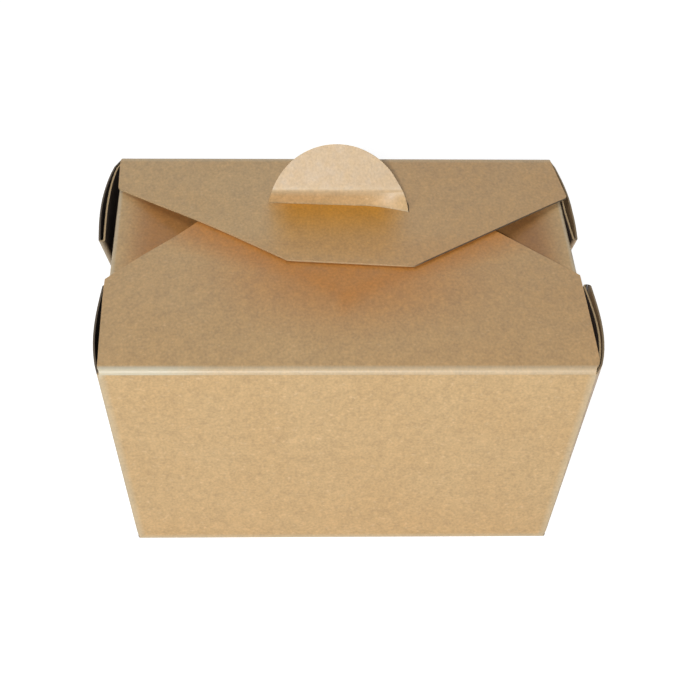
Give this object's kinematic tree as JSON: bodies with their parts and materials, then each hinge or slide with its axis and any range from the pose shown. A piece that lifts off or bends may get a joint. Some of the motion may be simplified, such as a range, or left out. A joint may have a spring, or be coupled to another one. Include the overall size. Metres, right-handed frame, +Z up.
{
  "type": "takeaway box",
  "caption": "Folded paperboard food box with flared walls, leakproof corner folds, and a slotted back flap locked by a half round tongue on the front flap.",
  "frame": {"origin": "centre of the base's underside", "axes": "+Z up through the open top, -Y towards the front wall, whose flap carries the tongue, +X to the right seen from the front"},
  "size_m": [0.1356, 0.108, 0.0788],
  "materials": {
    "carton_board": "brown kraft board with a thin satin coating, fine speckled fibre, paler cut edges",
    "lid_board": "brown kraft board with a thin satin coating, fine speckled fibre, paler cut edges"
  },
  "bodies": {
    "carton": {"carton": "carton_board"},
    "back_flap": {"back_flap": "lid_board"}
  },
  "joints": [
    {"name": "back_flap_hinge", "type": "hinge", "parent": "carton", "child": "back_flap", "pos_m": [0, 0.05369, 0.06269], "axis": [-1, 0, 0], "range_deg": [0, 180]}
  ]
}
